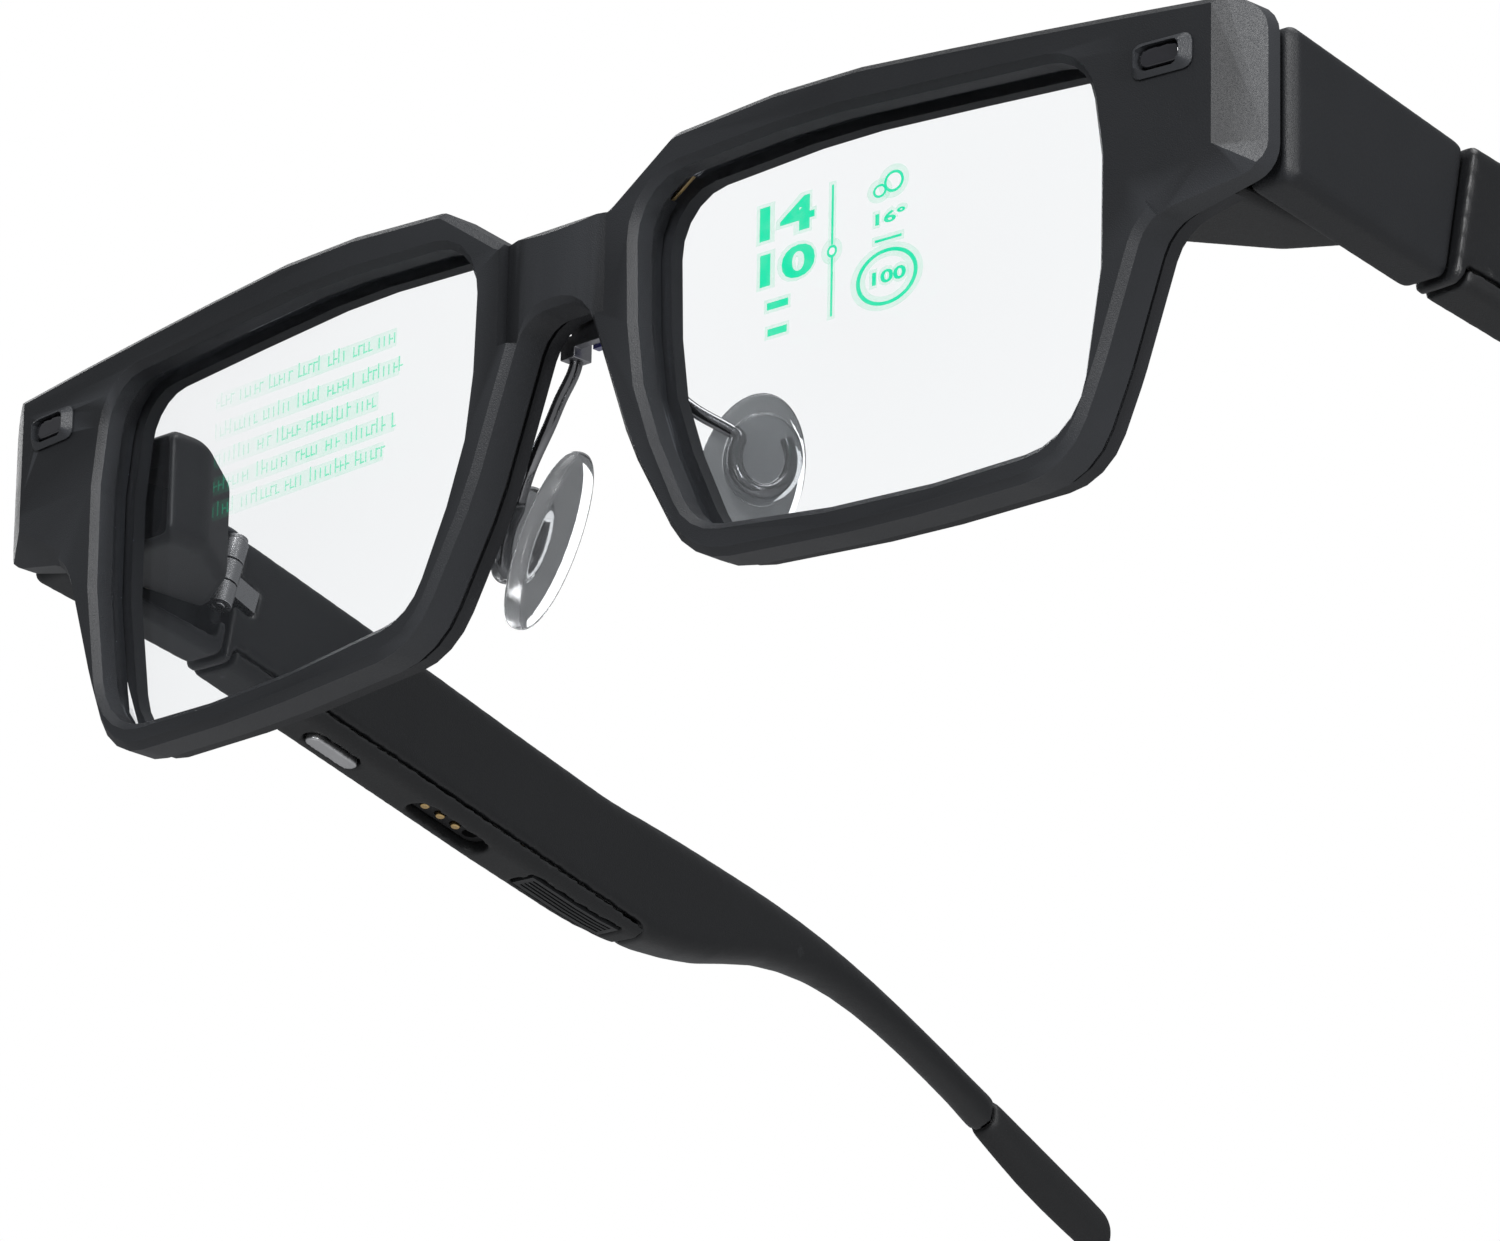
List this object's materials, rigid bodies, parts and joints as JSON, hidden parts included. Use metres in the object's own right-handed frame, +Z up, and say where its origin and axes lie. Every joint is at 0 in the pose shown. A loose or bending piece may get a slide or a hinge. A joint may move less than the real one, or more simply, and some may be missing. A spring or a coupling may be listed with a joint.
{
  "type": "smart glasses",
  "caption": "Display glasses with a thick square-cornered frame, a light engine behind each end piece, wire-held nose pads and two folding electronic temples.",
  "frame": {"origin": "middle of the bounding box's underside, level with the tips of the temples", "axes": "+X to the wearer's left, +Y to the back of the wearer's head, +Z up"},
  "size_m": [0.1626, 0.1552, 0.0435],
  "materials": {
    "frame_black": "satin",
    "temple_black": "satin",
    "tip_rubber": "matte",
    "lens_glass": "gloss",
    "dark_window": "gloss",
    "pad_silicone": "gloss",
    "wire_metal": "gloss",
    "hinge_steel": "satin",
    "bracket_metal": "satin",
    "button_metal": "satin",
    "contact_gold": "satin",
    "circuit_board": "satin",
    "module_black": "matte",
    "grille_black": "matte",
    "cell_wrap": "satin"
  },
  "bodies": {
    "frame": {"front_frame": "frame_black", "rear_frame": "frame_black", "brow_flex_cable": "contact_gold", "nose_bracket": "bracket_metal", "wear_sensor_window": "dark_window", "left_lens": "lens_glass", "left_waveguide": "lens_glass", "left_sensor_window": "dark_window", "left_sensor_module": "module_black", "left_bracket_screw": "hinge_steel", "left_nose_wire": "wire_metal", "left_nose_pad": "pad_silicone", "left_end_housing": "frame_black", "left_engine_cover": "frame_black", "left_light_engine": "module_black", "left_coupling_prism": "lens_glass", "left_engine_board": "circuit_board", "left_hinge_bracket": "hinge_steel", "left_hinge_pin": "hinge_steel", "right_lens": "lens_glass", "right_waveguide": "lens_glass", "right_sensor_window": "dark_window", "right_sensor_module": "module_black", "right_bracket_screw": "hinge_steel", "right_nose_wire": "wire_metal", "right_nose_pad": "pad_silicone", "right_end_housing": "frame_black", "right_engine_cover": "frame_black", "right_light_engine": "module_black", "right_coupling_prism": "lens_glass", "right_engine_board": "circuit_board", "right_hinge_bracket": "hinge_steel", "right_hinge_pin": "hinge_steel"},
    "left_temple": {"left_hinge_leaf": "hinge_steel", "left_temple_shell": "temple_black", "left_temple_cover": "temple_black", "left_temple_core": "hinge_steel", "left_tip_sleeve": "tip_rubber", "left_speaker_grille": "grille_black", "left_speaker": "module_black", "left_battery_cell": "cell_wrap", "left_temple_board": "circuit_board"},
    "right_temple": {"right_hinge_leaf": "hinge_steel", "right_temple_shell": "temple_black", "right_temple_cover": "temple_black", "right_temple_core": "hinge_steel", "right_tip_sleeve": "tip_rubber", "right_speaker_grille": "grille_black", "right_speaker": "module_black", "right_battery_cell": "cell_wrap", "right_temple_board": "circuit_board", "button_switch": "module_black", "charging_port": "module_black", "charging_contact_1": "contact_gold", "charging_contact_2": "contact_gold", "charging_contact_3": "contact_gold"},
    "button": {"power_button": "button_metal"}
  },
  "joints": [
    {"name": "left_temple_fold", "type": "hinge", "parent": "frame", "child": "left_temple", "pos_m": [0.0654, -0.05096, 0.03081], "axis": [0.0266, 0.2979, 0.9542], "range_deg": [0, 95]},
    {"name": "right_temple_fold", "type": "hinge", "parent": "frame", "child": "right_temple", "pos_m": [-0.0654, -0.05096, 0.03081], "axis": [0.0266, -0.2979, -0.9542], "range_deg": [0, 90]},
    {"name": "button_press", "type": "slide", "parent": "right_temple", "child": "button", "axis": [-0.0168, 0.1883, 0.982], "range_m": [0, 0.0004], "stiffness_N_per_m": 1500}
  ]
}
